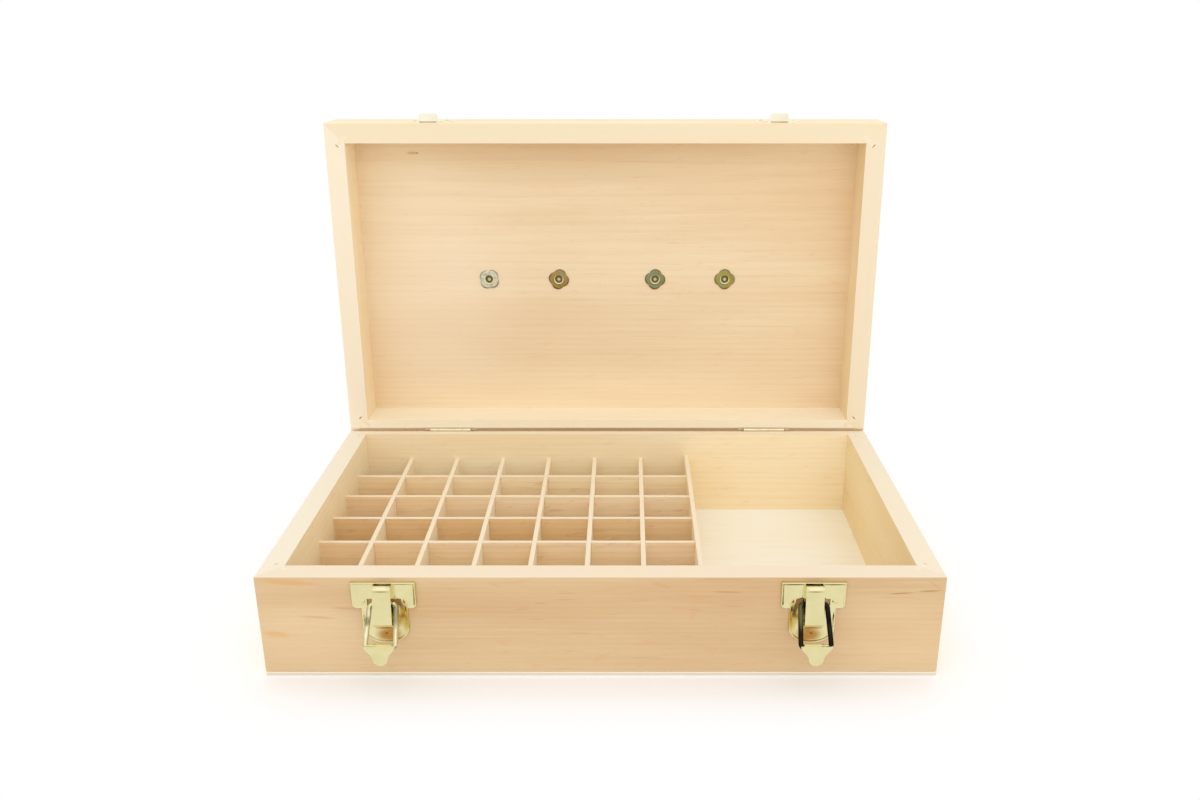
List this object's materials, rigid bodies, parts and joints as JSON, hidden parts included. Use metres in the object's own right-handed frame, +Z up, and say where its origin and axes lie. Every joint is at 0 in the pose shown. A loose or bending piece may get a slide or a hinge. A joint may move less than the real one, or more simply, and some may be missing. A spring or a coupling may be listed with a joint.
{
  "type": "art supply box",
  "caption": "Hinged wooden art supply box, shown open: splined mitred frames, a bottle grid, a storage compartment, plated draw latches and a drop handle.",
  "frame": {"origin": "centre of the base's underside", "axes": "+X across the box to the right as seen from the front, +Y from the latches to the hinges, +Z up"},
  "size_m": [0.406, 0.3049, 0.3099],
  "materials": {
    "pale_frame_wood": "unfinished, sanded",
    "spline_wood": "unfinished, sanded",
    "panel_wood": "unfinished, sanded",
    "divider_wood": "unfinished, sanded",
    "brass_plated_steel": "polished",
    "bright_plated_wire": "polished",
    "dark_plated_wire": "satin",
    "yellow_zinc_steel": "satin"
  },
  "bodies": {
    "base": {"base_front_rail": "pale_frame_wood", "base_back_rail": "pale_frame_wood", "base_left_rail": "pale_frame_wood", "base_right_rail": "pale_frame_wood", "base_corner_splines": "spline_wood", "bottom_panel": "panel_wood", "long_divider_1": "divider_wood", "long_divider_2": "divider_wood", "long_divider_3": "divider_wood", "long_divider_4": "divider_wood", "long_divider_5": "divider_wood", "long_divider_6": "divider_wood", "cross_divider_1": "divider_wood", "cross_divider_2": "divider_wood", "cross_divider_3": "divider_wood", "cross_divider_4": "divider_wood", "cross_divider_5": "divider_wood", "compartment_partition": "divider_wood", "left_hinge_base_leaf": "brass_plated_steel", "left_hinge_pin": "brass_plated_steel", "right_hinge_base_leaf": "brass_plated_steel", "right_hinge_pin": "brass_plated_steel", "left_latch_plate": "brass_plated_steel", "left_latch_strap": "brass_plated_steel", "left_latch_rivets": "brass_plated_steel", "right_latch_plate": "brass_plated_steel", "right_latch_strap": "brass_plated_steel", "right_latch_rivets": "brass_plated_steel"},
    "lid": {"lid_front_rail": "pale_frame_wood", "lid_back_rail": "pale_frame_wood", "lid_left_rail": "pale_frame_wood", "lid_right_rail": "pale_frame_wood", "lid_corner_splines": "spline_wood", "lid_panel": "panel_wood", "left_hinge_lid_leaf": "brass_plated_steel", "right_hinge_lid_leaf": "brass_plated_steel", "left_keeper": "brass_plated_steel", "left_keeper_rivets": "brass_plated_steel", "right_keeper": "brass_plated_steel", "right_keeper_rivets": "brass_plated_steel", "t_nuts": "yellow_zinc_steel", "handle_screws": "brass_plated_steel", "left_handle_bracket": "brass_plated_steel", "right_handle_bracket": "brass_plated_steel"},
    "left_loop": {"left_latch_loop": "bright_plated_wire"},
    "left_lever": {"left_latch_lever": "brass_plated_steel"},
    "right_loop": {"right_latch_loop": "dark_plated_wire"},
    "right_lever": {"right_latch_lever": "brass_plated_steel"},
    "handle": {"handle_bail": "brass_plated_steel"}
  },
  "joints": [
    {"name": "lid_hinge", "type": "hinge", "parent": "base", "child": "lid", "pos_m": [0, 0.1144, 0.0687], "axis": [1, 0, 0], "range_deg": [0, 91.1]},
    {"name": "left_loop_swing", "type": "hinge", "parent": "base", "child": "left_loop", "pos_m": [-0.1276, -0.1238, 0.0521], "axis": [-1, 0, 0], "range_deg": [-35, 136]},
    {"name": "left_lever_swing", "type": "hinge", "parent": "left_loop", "child": "left_lever", "pos_m": [-0.1276, -0.13966, 0.03252], "axis": [-1, 0, 0], "range_deg": [-136, 35]},
    {"name": "right_loop_swing", "type": "hinge", "parent": "base", "child": "right_loop", "pos_m": [0.1254, -0.1238, 0.0521], "axis": [-1, 0, 0], "range_deg": [-35, 136]},
    {"name": "right_lever_swing", "type": "hinge", "parent": "right_loop", "child": "right_lever", "pos_m": [0.1254, -0.13966, 0.03252], "axis": [-1, 0, 0], "range_deg": [-136, 35]},
    {"name": "handle_swing", "type": "hinge", "parent": "lid", "child": "handle", "pos_m": [0, 0.15789, 0.18229], "axis": [1, 0, 0], "range_deg": [0, 180]}
  ],
  "couplings": [
    {"joint": "left_lever_swing", "follows": "left_loop_swing", "ratio": -1},
    {"joint": "right_lever_swing", "follows": "right_loop_swing", "ratio": -1}
  ]
}
